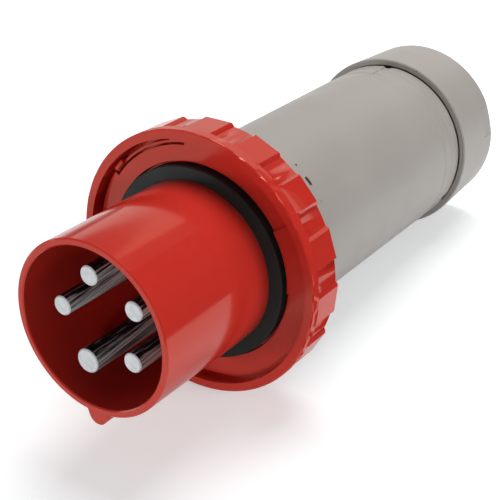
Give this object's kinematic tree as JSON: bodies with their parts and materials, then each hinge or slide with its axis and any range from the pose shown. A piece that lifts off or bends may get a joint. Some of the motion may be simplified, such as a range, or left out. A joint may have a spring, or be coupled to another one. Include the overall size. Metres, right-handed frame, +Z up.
{
  "type": "industrial pin and sleeve plug",
  "caption": "Straight industrial pin and sleeve plug with a red round sleeve, keyed pin contacts, a bayonet locking ring, and a grey tubular handle that ends in a gland nut.",
  "frame": {"origin": "middle of the bounding box at floor level, under the plug as it lies on two grip pads of its locking ring and on its gland nut", "axes": "+Y runs from the mouth to the gland nut, +X to the right seen from the mouth, +Z up; the plug's own axis dips by about 4.8 degrees to the rear"},
  "size_m": [0.1124, 0.2634, 0.1131],
  "materials": {
    "red_plastic": "satin moulded",
    "grey_plastic": "satin moulded",
    "carrier_plastic": "moulded",
    "seal_rubber": "smooth",
    "pin_metal": "nickel plated",
    "zinc_steel": "zinc plated"
  },
  "bodies": {
    "plug": {"shroud": "red_plastic", "face_seal": "seal_rubber", "handle_shell": "grey_plastic", "handle_seal": "seal_rubber", "contact_carrier": "carrier_plastic", "carrier_screws": "zinc_steel", "cable_seal": "seal_rubber", "clamp_collet": "carrier_plastic", "gland_neck": "grey_plastic", "pin_l1": "pin_metal", "terminal_screws_l1": "zinc_steel", "pin_l2": "pin_metal", "terminal_screws_l2": "zinc_steel", "pin_l3": "pin_metal", "terminal_screws_l3": "zinc_steel", "pin_neutral": "pin_metal", "terminal_screws_neutral": "zinc_steel", "pin_earth": "pin_metal", "terminal_screws_earth": "zinc_steel"},
    "ring": {"locking_ring": "red_plastic"},
    "pressure": {"pressure_ring": "carrier_plastic"},
    "nut": {"gland_nut": "grey_plastic"}
  },
  "joints": [
    {"name": "locking_ring_turn", "type": "hinge", "parent": "plug", "child": "ring", "pos_m": [0, -0.05754, 0.05631], "axis": [0, 0.9964, -0.0843], "range_deg": [0, 50]},
    {"name": "pressure_ring_slide", "type": "slide", "parent": "plug", "child": "pressure", "axis": [0, 0.9964, -0.0843], "range_m": [0, 0.009]},
    {"name": "gland_nut_turn", "type": "hinge", "parent": "pressure", "child": "nut", "pos_m": [0, 0.11091, 0.04206], "axis": [0, 0.9964, -0.0843], "range_deg": [0, 1080]}
  ],
  "couplings": [
    {"joint": "pressure_ring_slide", "follows": "gland_nut_turn", "m_per_rad": 0.00047699}
  ]
}
